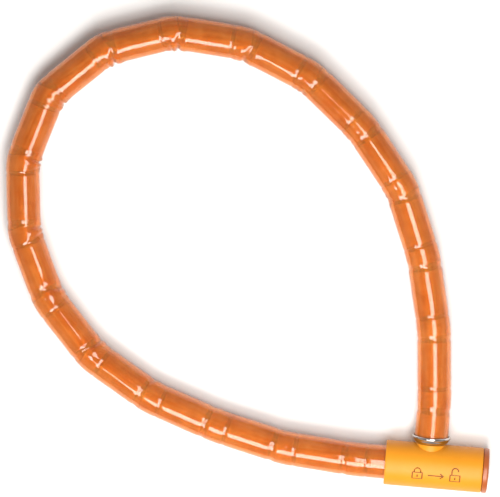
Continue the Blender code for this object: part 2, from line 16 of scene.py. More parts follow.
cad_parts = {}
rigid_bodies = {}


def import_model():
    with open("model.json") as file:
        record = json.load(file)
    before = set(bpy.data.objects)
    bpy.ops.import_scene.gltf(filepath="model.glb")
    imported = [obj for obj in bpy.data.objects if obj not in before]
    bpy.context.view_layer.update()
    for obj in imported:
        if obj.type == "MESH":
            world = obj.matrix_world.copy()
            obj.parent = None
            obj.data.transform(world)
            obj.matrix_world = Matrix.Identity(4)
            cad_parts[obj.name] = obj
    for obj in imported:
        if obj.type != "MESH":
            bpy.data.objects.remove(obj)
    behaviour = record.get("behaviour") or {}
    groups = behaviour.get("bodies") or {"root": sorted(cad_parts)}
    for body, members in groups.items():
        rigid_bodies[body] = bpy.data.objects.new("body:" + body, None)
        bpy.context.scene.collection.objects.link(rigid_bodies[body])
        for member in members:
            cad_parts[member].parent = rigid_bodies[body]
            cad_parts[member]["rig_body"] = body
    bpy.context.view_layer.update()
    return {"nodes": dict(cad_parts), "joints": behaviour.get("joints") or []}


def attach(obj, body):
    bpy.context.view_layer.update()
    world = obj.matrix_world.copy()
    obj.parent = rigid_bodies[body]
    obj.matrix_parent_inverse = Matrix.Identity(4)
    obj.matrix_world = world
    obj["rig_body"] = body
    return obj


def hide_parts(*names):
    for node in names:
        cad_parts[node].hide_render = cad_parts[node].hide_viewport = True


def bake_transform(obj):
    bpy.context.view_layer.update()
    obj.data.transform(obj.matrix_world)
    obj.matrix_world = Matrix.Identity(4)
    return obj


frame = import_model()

MM = 0.001
UP = Vector((0, 0, 1))
SHARP_DEGREES = 40
CLEARANCE = 0.3 * MM

# How many sides each kind of round piece has.
TURNED_SIDES = 96
SLEEVE_SIDES = 88
SHELL_SIDES = 64
ROPE_SIDES = 48
COVER_SIDES = 160
SMOOTH_SIDES = 128

# Cable: the shells, as in the CAD but for a wider groove. Places along a link are counted from
# the joint at its nose.
LINK_COUNT = 17
NOSE_REACH = 3.0 * MM
BELL_REACH = 4.6 * MM
BARREL_START = 9.8 * MM
SHELL_RADIUS = 9.8 * MM
SHELL_BORE = 4.8 * MM
SHELL_EDGE = 0.5 * MM
RING_BACK = 8.9 * MM  # from a joint back to the middle of the groove before it
GROOVE_RADIUS = 9.0 * MM
GROOVE_HALF = 1.5 * MM
GROOVE_FLANK = 0.3 * MM
SHADED_RADIUS = 9.55 * MM  # shells get painted shade, a darker orange-brown, nearer the axis than this

# Cable: the sleeve and the rope.
SLEEVE_RADIUS = 12.5 * MM
SLEEVE_BORE = 10.1 * MM
SLEEVE_WALL = 1.1 * MM  # the thinnest that a fold may leave it
RING_DIP = 0.32 * MM
RING_DIP_WIDTH = 1.2 * MM
GAP_DIP = 0.55 * MM
GAP_DIP_WIDTH = 2.1 * MM
RIPPLE = 0.035 * MM
GAP_AHEAD = 7.2 * MM  # from a joint on to the middle of the gap between rim and barrel
FILLET = 7.5 * MM  # the cable curves this far to each side of a joint
JOINT_REACH = 16 * MM  # no shell's end lies further than this from its joint
FINE_REACH = 15 * MM  # the sleeve's mesh is fine up to here, for its folds
RING_REACH = 3 * MM  # and this near to a ring
ROPE_RADIUS = 2.9 * MM
ROPE_LAY = 30 * MM
ROPE_SHORT_OF_PIN = 14 * MM  # where the rope ends in the head, from the pin's axis
ROPE_SHORT_OF_HEAD = 12.5 * MM  # where it ends in the plug, from the head's axis

# Lock head. Places along it are counted from the pin's axis, and along the pin from the head's.
HEAD_RADIUS = 16.5 * MM
HEAD_LEFT = -32.5 * MM
HEAD_RIGHT = 43.5 * MM
COVER_RIGHT = 39.2 * MM
COVER_BORE = 13.9 * MM
COVER_EDGE = 1.1 * MM
BODY_LEFT = -29.8 * MM
PIN_RADIUS = 6.3 * MM
PIN_BORE = 7.1 * MM
BOSS_RADIUS = 10.8 * MM
BOSS_FACE = 16.9 * MM
FERRULE_FLOOR = 20.7 * MM
EMBLEM_ALONG = 5.5 * MM
EMBLEM_ACROSS = -3.4 * MM
EMBLEM_SCALE = 1.2 * MM
STROKE_RADIUS = 0.45 * MM

# Stage.
FLOOR_HALF = 4.0
FLOOR_HEIGHT = -0.35 * MM  # just under the deepest bulge of the sleeve
WARM_WHITE = (1.0, 0.985, 0.96)
CAMERA_PLACE = (0.1146, 0.2050, 1.8372)
CAMERA_RIGHT = (0.9947, 0.0740, -0.0714)
CAMERA_FORWARD = (-0.0629, -0.1118, -0.9917)


# ---------------------------------------------------------------- places read from the frame


def body_of_link(number):
    """The body that a shell rides on: 0 is the head's own stretch and the last is the plug's."""
    if number == 0:
        return "head"
    if number > LINK_COUNT:
        return "plug"
    return frame["nodes"][f"shell_{number:02d}"]["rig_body"]


def shell_axis(number, near):
    """A CAD shell's axis, pointing away from a near point, and its length."""
    node = frame["nodes"][f"shell_{number:02d}"]
    corners = np.unique(np.round([vertex.co for vertex in node.data.vertices], 6), axis=0)
    middle = corners.mean(0)
    axis = np.linalg.svd(corners - middle)[2][0]
    if np.dot(middle - np.array(near), axis) < 0:
        axis = -axis
    return Vector(axis).normalized(), float(np.ptp((corners - middle) @ axis))


def cable_route():
    """The joints' centres and the directions between them, from the head round to the plug."""
    place = {joint["name"]: joint.get("pos_m") for joint in frame["joints"]}
    points = [Vector(place["link_joint_01"])]
    directions = [Vector((-1, 0, 0))]
    for number in range(1, LINK_COUNT + 1):
        axis, length = shell_axis(number, points[-1])
        directions.append(axis)
        points.append(points[-1] + axis * (length - NOSE_REACH - BELL_REACH))
    directions.append(Vector((0, -1, 0)))
    return points, directions


POINTS, DIRECTIONS = cable_route()
LINK = (POINTS[1] - POINTS[0]).length
HEAD = Vector((POINTS[-1].x, POINTS[0].y, HEAD_RADIUS))
ALONG_HEAD = Matrix.Translation(HEAD) @ Matrix.Rotation(math.radians(90), 4, "Y")
ALONG_PIN = Matrix.Translation(HEAD) @ Matrix.Rotation(math.radians(-90), 4, "X")


# ---------------------------------------------------------------- mesh helpers


def add_mesh(name, vertices, faces, material, body=None, sharp=SHARP_DEGREES):
    """A smooth-shaded object with outward faces. It rides on a body, if one is given."""
    mesh = bpy.data.meshes.new(name)
    mesh.from_pydata([tuple(vertex) for vertex in vertices], [], faces)
    shape = bmesh.new()
    shape.from_mesh(mesh)
    bmesh.ops.recalc_face_normals(shape, faces=shape.faces)
    shape.to_mesh(mesh)
    shape.free()
    mesh.materials.append(material)
    mesh.shade_smooth()
    mesh.set_sharp_from_angle(angle=math.radians(sharp))
    thing = bpy.data.objects.new(name, mesh)
    bpy.context.scene.collection.objects.link(thing)
    if body:
        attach(thing, body)
    return thing


def rounded(outline, radius, steps=4):
    """Rounds each inner corner of a turned profile with a short curve."""
    points = [Vector(point) for point in outline]
    smooth = [points[0]]
    for before, corner, after in zip(points, points[1:], points[2:]):
        reach = min(radius, 0.45 * (before - corner).length, 0.45 * (after - corner).length)
        start = corner + (before - corner).normalized() * reach
        end = corner + (after - corner).normalized() * reach
        for step in range(steps + 1):
            share = step / steps
            smooth.append(start.lerp(corner, share).lerp(corner.lerp(end, share), share))
    smooth.append(points[-1])
    return [tuple(point) for point in smooth]


def turned(name, outline, matrix, material, body=None, sides=TURNED_SIDES, ring=True, inner=None):
    """Turns (height, radius) pairs round Z. A ring's profile closes on itself, others on the axis.

    Inner is a second material and the radius inside which it's used.
    """
    vertices = []
    rows = []
    for height, radius in outline:
        if radius < 1e-7:
            rows.append([len(vertices)])
            vertices.append(matrix @ Vector((0, 0, height)))
            continue
        rows.append(list(range(len(vertices), len(vertices) + sides)))
        for side in range(sides):
            angle = math.tau * side / sides
            spot = Vector((radius * math.cos(angle), radius * math.sin(angle), height))
            vertices.append(matrix @ spot)
    pairs = list(zip(rows, rows[1:]))
    radii = [radius for _, radius in outline]
    means = [(first + second) / 2 for first, second in zip(radii, radii[1:] + radii[:1])]
    if ring:
        pairs.append((rows[-1], rows[0]))
    faces = []
    slots = []
    for (first, second), mean in zip(pairs, means):
        for side in range(sides):
            after = (side + 1) % sides
            if len(first) == 1 and len(second) == 1:
                continue
            if len(first) == 1:
                faces.append((first[0], second[side], second[after]))
            elif len(second) == 1:
                faces.append((first[side], second[0], first[after]))
            else:
                faces.append((first[side], second[side], second[after], first[after]))
            slots.append(1 if inner and mean < inner[1] else 0)
    thing = add_mesh(name, vertices, faces, material, body)
    if inner:
        thing.data.materials.append(inner[0])
        thing.data.polygons.foreach_set("material_index", slots)
    return thing


def applied(thing):
    """Replaces a thing's mesh by what its modifiers make of it."""
    graph = bpy.context.evaluated_depsgraph_get()
    mesh = bpy.data.meshes.new_from_object(thing.evaluated_get(graph))
    thing.modifiers.clear()
    thing.data = mesh
    return thing


def cut(thing, tools, operation="DIFFERENCE"):
    """Cuts tools out of a thing, or joins them to it, and removes them."""
    for tool in tools:
        modifier = thing.modifiers.new(tool.name, "BOOLEAN")
        modifier.operation = operation
        modifier.solver = "EXACT"
        modifier.object = tool
        modifier.material_mode = "TRANSFER"
    applied(thing)
    for tool in tools:
        bpy.data.objects.remove(tool, do_unlink=True)
    thing.data.shade_smooth()
    thing.data.set_sharp_from_angle(angle=math.radians(SHARP_DEGREES))
    return thing


def link_matrix(point, direction):
    """A frame at a joint: Z along the link, X as near upright as it can be."""
    side = UP.cross(direction).normalized()
    turn = Matrix((direction.cross(side), side, direction)).transposed()
    return Matrix.Translation(point) @ turn.to_4x4()


# ---------------------------------------------------------------- materials


def new_material(name):
    """A new node material, with its node tree and its shader."""
    material = bpy.data.materials.new(name)
    material.use_nodes = True
    tree = material.node_tree
    shader = tree.nodes["Principled BSDF"]
    return material, tree, shader


def add_node(tree, kind, **values):
    """A new node, with values for its inputs by name, or else for its own settings."""
    node = tree.nodes.new(kind)
    for name, value in values.items():
        if name in node.inputs:
            node.inputs[name].default_value = value
        else:
            setattr(node, name, value)
    return node


def noise(tree, scale, detail=3.0, roughness=0.55, stretch=None):
    """A noise texture in the object's own space, optionally stretched."""
    place = add_node(tree, "ShaderNodeTexCoord")
    texture = add_node(tree, "ShaderNodeTexNoise", Scale=scale, Detail=detail, Roughness=roughness)
    if stretch:
        mapping = add_node(tree, "ShaderNodeMapping", Scale=stretch)
        tree.links.new(place.outputs["Object"], mapping.inputs["Vector"])
        tree.links.new(mapping.outputs["Vector"], texture.inputs["Vector"])
    else:
        tree.links.new(place.outputs["Object"], texture.inputs["Vector"])
    return texture.outputs["Fac"]


def ramp(tree, source, stops):
    """Maps a value to colours: stops are (position, colour)."""
    node = add_node(tree, "ShaderNodeValToRGB")
    element = node.color_ramp.elements
    while len(element) > len(stops):
        element.remove(element[-1])
    while len(element) < len(stops):
        element.new(1.0)
    for spot, (position, colour) in zip(element, stops):
        spot.position = position
        spot.color = (*colour, 1.0)
    tree.links.new(source, node.inputs["Fac"])
    return node.outputs["Color"]


def spread(tree, source, low, high):
    """Maps a value from 0..1 to low..high."""
    node = add_node(tree, "ShaderNodeMapRange")
    node.inputs["To Min"].default_value = low
    node.inputs["To Max"].default_value = high
    tree.links.new(source, node.inputs["Value"])
    return node.outputs["Result"]


def bump(tree, shader, height, distance, strength):
    """Raises a shader's surface by a height texture."""
    node = add_node(tree, "ShaderNodeBump", Strength=strength, Distance=distance)
    tree.links.new(height, node.inputs["Height"])
    tree.links.new(node.outputs["Normal"], shader.inputs["Normal"])


def sleeve_material():
    """Clear orange PVC: glossy, tinted where it is thick, with a faintly uneven surface."""
    material, tree, shader = new_material("sleeve_pvc")
    flow = add_node(tree, "ShaderNodeAttribute", attribute_name="flow")
    streak = add_node(tree, "ShaderNodeTexNoise", Scale=420.0, Detail=3.0, Roughness=0.6)
    tree.links.new(flow.outputs["Vector"], streak.inputs["Vector"])
    cloud = noise(tree, 70, 3.0)
    blend = add_node(tree, "ShaderNodeMix")
    blend.inputs["Factor"].default_value = 0.55
    tree.links.new(cloud, blend.inputs["A"])
    tree.links.new(streak.outputs["Fac"], blend.inputs["B"])
    stops = ((0.38, (0.84, 0.25, 0.026)), (0.62, (0.98, 0.39, 0.07)))
    tint = ramp(tree, blend.outputs["Result"], stops)
    tree.links.new(tint, shader.inputs["Base Color"])
    shader.inputs["Transmission Weight"].default_value = 0.72
    shader.inputs["IOR"].default_value = 1.5
    shader.inputs["Coat Weight"].default_value = 0.15
    shader.inputs["Coat Roughness"].default_value = 0.04
    shader.inputs["Specular IOR Level"].default_value = 0.35
    tree.links.new(spread(tree, noise(tree, 220), 0.05, 0.12), shader.inputs["Roughness"])
    bump(tree, shader, noise(tree, 90, 4.0), 0.4 * MM, 0.12)
    depth = add_node(tree, "ShaderNodeVolumeAbsorption", Color=(0.9, 0.6, 0.02, 1.0), Density=150.0)
    output = tree.nodes["Material Output"]
    tree.links.new(depth.outputs["Volume"], output.inputs["Volume"])
    return material


def shell_material():
    """Zinc-plated steel: dull and cloudy, with fine turning marks."""
    material, tree, shader = new_material("shell_steel")
    shader.inputs["Metallic"].default_value = 0.4
    tone = ramp(tree, noise(tree, 140, 4.0), ((0.3, (0.72, 0.68, 0.62)), (0.7, (0.9, 0.86, 0.8))))
    tree.links.new(tone, shader.inputs["Base Color"])
    tree.links.new(spread(tree, noise(tree, 400), 0.45, 0.6), shader.inputs["Roughness"])
    bump(tree, shader, noise(tree, 900, 2.0), 0.05 * MM, 0.4)
    return material


def shaded_recess_material():
    """Painted shade on the shells' grooves, noses and bores: a dark orange-brown for the shade in them,
    which shows through the sleeve as dark bands.
    """
    material, tree, shader = new_material("shell_recess_painted_shade")
    shader.inputs["Metallic"].default_value = 0.7
    # painted shade: dark orange-brown instead of lit steel
    tone = ramp(tree, noise(tree, 200, 3.0), ((0.3, (0.42, 0.14, 0.05)), (0.7, (0.6, 0.26, 0.11))))
    tree.links.new(tone, shader.inputs["Base Color"])
    tree.links.new(spread(tree, noise(tree, 500), 0.4, 0.6), shader.inputs["Roughness"])
    bump(tree, shader, noise(tree, 900, 2.0), 0.05 * MM, 0.4)
    return material


def rope_material():
    """Greased wire: mottled grey steel."""
    material, tree, shader = new_material("rope_wire")
    shader.inputs["Metallic"].default_value = 1.0
    tone = ramp(tree, noise(tree, 700, 2.0), ((0.3, (0.2, 0.19, 0.18)), (0.7, (0.5, 0.48, 0.46))))
    tree.links.new(tone, shader.inputs["Base Color"])
    tree.links.new(spread(tree, noise(tree, 900), 0.35, 0.55), shader.inputs["Roughness"])
    bump(tree, shader, noise(tree, 2500, 1.0), 0.05 * MM, 0.6)
    return material


def cover_material():
    """Soft-touch paint: velvety yellow-orange with a fine grain."""
    material, tree, shader = new_material("cover_soft_touch")
    tone = ramp(tree, noise(tree, 45, 3.0), ((0.3, (0.64, 0.235, 0.007)), (0.7, (0.69, 0.26, 0.01))))
    tree.links.new(tone, shader.inputs["Base Color"])
    tree.links.new(spread(tree, noise(tree, 300), 0.42, 0.52), shader.inputs["Roughness"])
    shader.inputs["Specular IOR Level"].default_value = 0.3
    shader.inputs["Sheen Weight"].default_value = 0.05
    shader.inputs["Sheen Roughness"].default_value = 0.4
    bump(tree, shader, noise(tree, 2600, 2.0), 0.03 * MM, 0.5)
    return material


def emblem_material():
    """The sunken emblem's floor: darker and slightly rougher than the cover."""
    material, tree, shader = new_material("emblem_dark_floor")
    tone = ramp(tree, noise(tree, 300, 3.0), ((0.3, (0.2, 0.06, 0.008)), (0.7, (0.27, 0.085, 0.012))))
    tree.links.new(tone, shader.inputs["Base Color"])
    tree.links.new(spread(tree, noise(tree, 500), 0.5, 0.65), shader.inputs["Roughness"])
    bump(tree, shader, noise(tree, 2000, 2.0), 0.03 * MM, 0.5)
    return material


def cap_material():
    """Moulded orange-brown plastic with a satin skin."""
    material, tree, shader = new_material("cap_plastic")
    tone = ramp(tree, noise(tree, 80, 3.0), ((0.3, (0.34, 0.075, 0.012)), (0.7, (0.4, 0.1, 0.018))))
    tree.links.new(tone, shader.inputs["Base Color"])
    tree.links.new(spread(tree, noise(tree, 350), 0.28, 0.4), shader.inputs["Roughness"])
    bump(tree, shader, noise(tree, 1500, 2.0), 0.03 * MM, 0.4)
    return material


def chrome_material():
    """Bright plating with faint scuffs."""
    material, tree, shader = new_material("ferrule_chrome")
    shader.inputs["Metallic"].default_value = 1.0
    tone = ramp(tree, noise(tree, 200, 3.0), ((0.3, (0.42, 0.39, 0.37)), (0.7, (0.56, 0.53, 0.51))))
    tree.links.new(tone, shader.inputs["Base Color"])
    tree.links.new(spread(tree, noise(tree, 500), 0.07, 0.16), shader.inputs["Roughness"])
    bump(tree, shader, noise(tree, 1200, 2.0), 0.02 * MM, 0.25)
    return material


def hard_steel_material():
    """Hardened, ground steel with fine grinding lines."""
    material, tree, shader = new_material("hard_steel_ground")
    shader.inputs["Metallic"].default_value = 1.0
    tone = ramp(tree, noise(tree, 160, 4.0), ((0.3, (0.4, 0.4, 0.42)), (0.7, (0.6, 0.6, 0.62))))
    tree.links.new(tone, shader.inputs["Base Color"])
    lines = noise(tree, 500, 2.0, 0.5, (6.0, 0.4, 0.4))
    tree.links.new(spread(tree, lines, 0.22, 0.42), shader.inputs["Roughness"])
    bump(tree, shader, lines, 0.03 * MM, 0.5)
    return material


def brass_material():
    """Machined brass, a little tarnished."""
    material, tree, shader = new_material("brass_machined")
    shader.inputs["Metallic"].default_value = 1.0
    tone = ramp(tree, noise(tree, 180, 4.0), ((0.3, (0.5, 0.34, 0.12)), (0.7, (0.78, 0.58, 0.26))))
    tree.links.new(tone, shader.inputs["Base Color"])
    tree.links.new(spread(tree, noise(tree, 420), 0.22, 0.4), shader.inputs["Roughness"])
    bump(tree, shader, noise(tree, 1400, 2.0), 0.03 * MM, 0.4)
    return material


def floor_material():
    """Plain white paper."""
    material, tree, shader = new_material("paper")
    tone = ramp(tree, noise(tree, 8, 2.0), ((0.3, (0.86, 0.86, 0.86)), (0.7, (0.89, 0.89, 0.89))))
    tree.links.new(tone, shader.inputs["Base Color"])
    shader.inputs["Roughness"].default_value = 0.9
    shader.inputs["Specular IOR Level"].default_value = 0.2
    return material


SLEEVE = sleeve_material()
SHELL = shell_material()
SHADED_RECESS = shaded_recess_material()
ROPE = rope_material()
COVER = cover_material()
EMBLEM_DARK = emblem_material()
CAP = cap_material()
CHROME = chrome_material()
HARD_STEEL = hard_steel_material()
BRASS = brass_material()


# ---------------------------------------------------------------- cable


def centre_line(number, along):
    """A point and direction of the cable, at a length along from joint number."""
    corner = POINTS[number - 1]
    before, after = DIRECTIONS[number - 1], DIRECTIONS[number]
    if along <= -FILLET:
        return corner + before * along, before
    if along >= FILLET:
        return corner + after * along, after
    share = (along + FILLET) / (2 * FILLET)
    start, end = corner - before * FILLET, corner + after * FILLET
    point = start.lerp(corner, share).lerp(corner.lerp(end, share), share)
    return point, (corner - start).lerp(end - corner, share).normalized()


def hump(along, centre, width):
    """A bell curve of height 1 round a centre."""
    return math.exp(-(((along - centre) / width) ** 2))


def sleeve_folds(number):
    """How one joint's sleeve is creased: the same every run, but different at each joint.

    A deep crease lies past the joint and a shallow one before it, both deeper at a sharper bend.
    """
    chance = random.Random(100 + number)
    bend = math.degrees(DIRECTIONS[number - 1].angle(DIRECTIONS[number]))
    creases = []
    for place, shallowest, deepest in ((3.4, 0.8, 1.05), (-3.8, 0.25, 0.55)):
        creases.append({
            "place": (place + chance.uniform(-1.4, 1.4)) * MM,
            "slant": chance.uniform(-2.0, 2.0) * MM,
            "share": chance.uniform(shallowest, deepest),
            "turn": chance.uniform(-0.5, 0.5),
            "width": chance.uniform(1.5, 2.1) * MM,
        })
    return {
        "depth": min(bend / 20.0, 1.2) ** 1.5 * MM,
        "creases": creases,
        "phases": [chance.uniform(0, math.tau) for _ in range(3)],
    }


def ripple(phases, along, angle):
    """The sleeve's faint unevenness, from about -3 to 3."""
    first, second, third = phases
    height = math.sin(angle * 2 + first + along / (6 * MM))
    height += math.sin(angle * 3 + second - along / (9 * MM))
    return height + math.sin(angle + third + along / (4 * MM)) * hump(along, 2 * MM, 9 * MM)


def fold(crease, along, angle):
    """One crease's height: a valley between two ridges, on the inside of the bend only."""
    inside = max(math.cos(0.85 * (angle - crease["turn"])), 0.0) ** 1.5
    middle = crease["place"] * (0.75 + 0.55 * abs(angle)) + crease["slant"] * angle
    width = crease["width"]
    height = -1.25 * hump(along, middle, 0.95 * width)
    for ridge in (middle - 2.6 * width, middle + 2.6 * width):
        height += 0.9 * hump(along, ridge, 1.7 * width)
    return crease["share"] * inside * height


def sleeve_radius(folds, along, angle, start, end):
    """The sleeve's outer radius. Angle 0 faces the inside of the bend."""
    fade = 5 * MM
    window = max(min(1.0, (along - start) / fade, (end - along) / fade), 0)
    radius = SLEEVE_RADIUS
    radius -= RING_DIP * (hump(along, start, RING_DIP_WIDTH) + hump(along, end, RING_DIP_WIDTH))
    radius -= GAP_DIP * hump(along, GAP_AHEAD, GAP_DIP_WIDTH)
    radius += RIPPLE * window * ripple(folds["phases"], along, angle)
    for crease in folds["creases"]:
        radius += folds["depth"] * fold(crease, along, angle)
    return radius


def stations(start, end, fine):
    """Places along a piece: close together where fine(place) is true."""
    fine_step, coarse_step, shortest = 0.45 * MM, 1.8 * MM, 0.3 * MM
    places = [start]
    while places[-1] < end - shortest:
        step = fine_step if fine(places[-1]) else coarse_step
        places.append(min(places[-1] + step, end))
    places[-1] = end
    return places


def tube(name, rings, material):
    """A closed tube: each ring is ((centre, inward, upward), outer radii, bore radii).

    Its flow attribute changes slowly along the tube, for streaks drawn out by the extruder.
    """
    sides = SLEEVE_SIDES
    stretch = 0.08
    vertices, flow = [], []
    for surface in (1, 2):
        for ring in rings:
            centre, inward, upward = ring[0]
            for side, radius in enumerate(ring[surface]):
                angle = math.tau * side / sides
                ray = inward * math.cos(angle) + upward * math.sin(angle)
                vertices.append(centre + ray * radius)
                drawn = (centre.x + centre.y) * stretch
                flow += drawn, SLEEVE_RADIUS * math.cos(angle), SLEEVE_RADIUS * math.sin(angle)
    count = len(rings)
    faces = []
    for ring in range(count - 1):
        for side in range(sides):
            after = (side + 1) % sides
            near, far = ring * sides, (ring + 1) * sides
            faces.append((near + side, near + after, far + after, far + side))
            near, far = near + count * sides, far + count * sides
            faces.append((near + side, far + side, far + after, near + after))
    inner = count * sides
    last = (count - 1) * sides
    for side in range(sides):
        after = (side + 1) % sides
        faces.append((side, inner + side, inner + after, after))
        faces.append((last + side, last + after, inner + last + after, inner + last + side))
    piece = add_mesh(name, vertices, faces, material, sharp=60)
    piece.data.attributes.new("flow", "FLOAT_VECTOR", "POINT").data.foreach_set("vector", flow)
    return piece


def clear_of_steel(number, along, centre, ray):
    """The smallest bore radius along a ray that misses the shells on both sides of a joint."""
    radius = SLEEVE_BORE
    if abs(along) > JOINT_REACH:
        return radius
    end_room, side_room, step, largest = 0.2 * MM, 0.12 * MM, 0.1 * MM, 12.6 * MM
    corner, before, after = POINTS[number - 1], DIRECTIONS[number - 1], DIRECTIONS[number]
    while radius < largest:
        point = centre + ray * radius - corner
        rim, barrel = point.dot(before), point.dot(after)
        beside_rim = (point - before * rim).length > SHELL_RADIUS + side_room
        beside_barrel = (point - after * barrel).length > SHELL_RADIUS + side_room
        past_rim = rim > BELL_REACH + end_room
        short_of_barrel = barrel < BARREL_START - end_room
        if (beside_rim or past_rim) and (beside_barrel or short_of_barrel):
            break
        radius += step
    return radius


def ring_frame(number, along):
    """A ring's centre, the direction to the inside of the loop, and the one up from the floor."""
    centre, direction = centre_line(number, along)
    inward = direction.cross(UP).normalized()
    return centre, inward, inward.cross(direction)


def joined_bodies(number):
    """The bodies on the two sides of a joint."""
    return body_of_link(number - 1), body_of_link(number)


def ride_or_blend(thing, number):
    """Leaves a piece at a joint that moves on no body, its place baked into its mesh. At a held joint,
    or the open one, it rides on one body.
    """
    behind, ahead = joined_bodies(number)
    moves = any({joint["parent"], joint["child"]} == {behind, ahead} for joint in frame["joints"])
    if behind == ahead or not moves:
        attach(thing, behind)
        return
    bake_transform(thing)


def add_joint_sleeve(number):
    """One stretch of sleeve, from the ring before a joint to the ring before the next."""
    folds = sleeve_folds(number)
    start = -RING_BACK
    end = next_ring = LINK - RING_BACK
    name = f"sleeve_{number:02d}"
    if number > LINK_COUNT:
        end = POINTS[-1].y - HEAD.y - FERRULE_FLOOR - CLEARANCE
        next_ring = end + 20 * MM  # there is none, so its dip is kept well off the end
        name = "plug_sleeve"
    rings = []
    for along in stations(start, end, lambda place: place < FINE_REACH or place > end - RING_REACH):
        centre, inward, upward = ring_frame(number, along)
        radii, bores = [], []
        for side in range(SLEEVE_SIDES):
            angle = math.tau * side / SLEEVE_SIDES
            if angle > math.pi:
                angle -= math.tau
            ray = inward * math.cos(angle) + upward * math.sin(angle)
            bore = clear_of_steel(number, along, centre, ray)
            radius = sleeve_radius(folds, along, angle, start, next_ring)
            radii.append(max(radius, bore + SLEEVE_WALL))
            bores.append(bore)
        rings.append(((centre, inward, upward), radii, bores))
    piece = tube("pvc_" + name, rings, SLEEVE)
    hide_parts(name)
    ride_or_blend(piece, number)


def add_anchor_sleeve():
    """The first stretch of sleeve, out of the head's end to the first ring."""
    start = POINTS[0].x - HEAD.x - BODY_LEFT
    rings = []
    for along in stations(start, -RING_BACK, lambda place: place > -RING_BACK - RING_REACH):
        radius = SLEEVE_RADIUS - RING_DIP * hump(along, -RING_BACK, RING_DIP_WIDTH)
        radii, bores = [radius] * SLEEVE_SIDES, [SLEEVE_BORE] * SLEEVE_SIDES
        rings.append((ring_frame(1, along), radii, bores))
    piece = tube("pvc_anchor_sleeve", rings, SLEEVE)
    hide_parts("anchor_sleeve")
    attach(piece, "head")


def nose_outline():
    """The ball nose, its neck and the barrel's dished front, from the front round to the bore."""
    return (
        (BARREL_START, SHELL_RADIUS),
        (12.9 * MM, 4.6 * MM),
        (5.5 * MM, 4.6 * MM),
        (3.6 * MM, 6.1 * MM),
        (1.0 * MM, 7.1 * MM),
        (-1.2 * MM, 6.9 * MM),
        (-NOSE_REACH, 6.1 * MM),
        (-NOSE_REACH, 5.5 * MM),
        (1.0 * MM, 3.4 * MM),
        (12.5 * MM, 3.4 * MM),
        (14.0 * MM, SHELL_BORE),
    )


def bell_outline(length):
    """The cup and rim round the next joint, which is a length away, and the groove behind them."""
    groove = length - RING_BACK
    groove_edge = GROOVE_HALF + GROOVE_FLANK
    return (
        (length - 6.3 * MM, SHELL_BORE),
        (length - 2.0 * MM, 7.65 * MM),
        (length + 2.0 * MM, 7.65 * MM),
        (length + BELL_REACH, 8.9 * MM),
        (length + BELL_REACH, SHELL_RADIUS),
        (groove + groove_edge, SHELL_RADIUS),
        (groove + GROOVE_HALF, GROOVE_RADIUS),
        (groove - GROOVE_HALF, GROOVE_RADIUS),
        (groove - groove_edge, SHELL_RADIUS),
    )


def add_shell(name, node, outline, place, direction, body):
    """One shell, turned round its own axis: plated steel outside, painted shade in its grooves and
    bores.
    """
    outline = rounded(outline, SHELL_EDGE)
    matrix = link_matrix(place, direction)
    piece = turned(name, outline, matrix, SHELL, body, SHELL_SIDES, inner=(SHADED_RECESS, SHADED_RADIUS))
    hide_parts(node)


def add_shells():
    """Every steel shell: those of the links, the head's and the plug's."""
    barrel_bore = (20 * MM, SHELL_BORE)
    for number in range(1, LINK_COUNT + 1):
        name = f"shell_{number:02d}"
        outline = (*bell_outline(LINK), *nose_outline(), barrel_bore)
        place, direction = POINTS[number - 1], DIRECTIONS[number]
        add_shell("steel_" + name, name, outline, place, direction, body_of_link(number))

    start = Vector((HEAD.x + BODY_LEFT - CLEARANCE, HEAD.y, HEAD.z))
    outline = (*bell_outline((POINTS[0] - start).length), (0, SHELL_RADIUS), (0, SHELL_BORE))
    add_shell("steel_anchor_shell", "anchor_shell", outline, start, DIRECTIONS[0], "head")

    to_head = POINTS[-1].y - HEAD.y
    end, pin_top = to_head - 21.0 * MM, to_head - 25.8 * MM
    socket = PIN_RADIUS + CLEARANCE
    outline = (
        (end, SHELL_RADIUS),
        *nose_outline(),
        (pin_top, SHELL_BORE),
        (pin_top, socket),
        (end, socket),
    )
    add_shell("steel_plug_shell", "plug_shell", outline, POINTS[-1], DIRECTIONS[-1], "plug")


def add_rope(number, start, end):
    """One stretch of the wire rope through a joint: six strands laid round a core."""
    sides = ROPE_SIDES
    hollow = 0.8
    vertices = []
    places = stations(start, end, lambda place: abs(place) < FILLET + 2 * MM)
    for along in places:
        centre, inward, upward = ring_frame(number, along)
        for side in range(sides):
            angle = math.tau * side / sides
            strand = abs(math.cos(3 * (angle - math.tau * along / ROPE_LAY)))
            ray = inward * math.cos(angle) + upward * math.sin(angle)
            vertices.append(centre + ray * ROPE_RADIUS * (hollow + (1 - hollow) * strand**0.7))
    faces = []
    for ring in range(len(places) - 1):
        for side in range(sides):
            after = (side + 1) % sides
            near, far = ring * sides, (ring + 1) * sides
            faces.append((near + side, near + after, far + after, far + side))
    faces.append(tuple(reversed(range(sides))))
    faces.append(tuple(range((len(places) - 1) * sides, len(places) * sides)))
    piece = add_mesh(f"wire_rope_{number:02d}", vertices, faces, ROPE, sharp=70)
    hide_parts("core_cable")
    ride_or_blend(piece, number)


def add_cable():
    """The whole cable, joint by joint, from the head round to the plug."""
    add_anchor_sleeve()
    add_shells()
    for number in range(1, LINK_COUNT + 2):
        add_joint_sleeve(number)
        start, end = -LINK / 2, LINK / 2
        if number == 1:
            start = POINTS[0].x - HEAD.x + ROPE_SHORT_OF_PIN
        if number > LINK_COUNT:
            end = POINTS[-1].y - HEAD.y - ROPE_SHORT_OF_HEAD
        add_rope(number, start, end)


# ---------------------------------------------------------------- lock head


def along_surface(along, across):
    """A point on the head's top: along its axis, and across it round the tube."""
    angle = across / HEAD_RADIUS
    return HEAD + Vector((along, HEAD_RADIUS * math.sin(angle), HEAD_RADIUS * math.cos(angle)))


